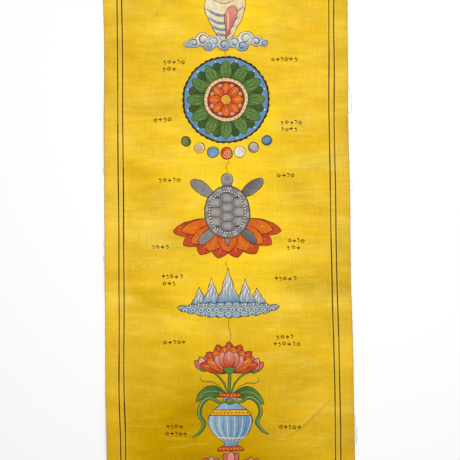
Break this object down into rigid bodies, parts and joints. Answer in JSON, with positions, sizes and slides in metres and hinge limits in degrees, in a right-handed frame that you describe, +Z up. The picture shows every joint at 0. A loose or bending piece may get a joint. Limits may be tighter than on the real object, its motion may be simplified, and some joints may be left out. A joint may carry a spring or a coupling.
{
  "type": "painted cosmological scroll",
  "caption": "Long narrow scroll of cotton cloth with a yellow painted ground, ruled side borders and a column of painted cosmic emblems, lying flat face up.",
  "frame": {"origin": "middle of the surface that the cloth lies on, which is the centre of the bounding box's bottom face", "axes": "+Z up, out of the painted side; +Y along the cloth towards its upper end; +X across it, to the right of the painted side"},
  "size_m": [0.3018, 1, 0.0084],
  "materials": {
    "ochre_ground": "matte",
    "bare_yarn": "matte"
  },
  "bodies": {
    "root": {"painted_cloth": "ochre_ground"}
  },
  "joints": []
}
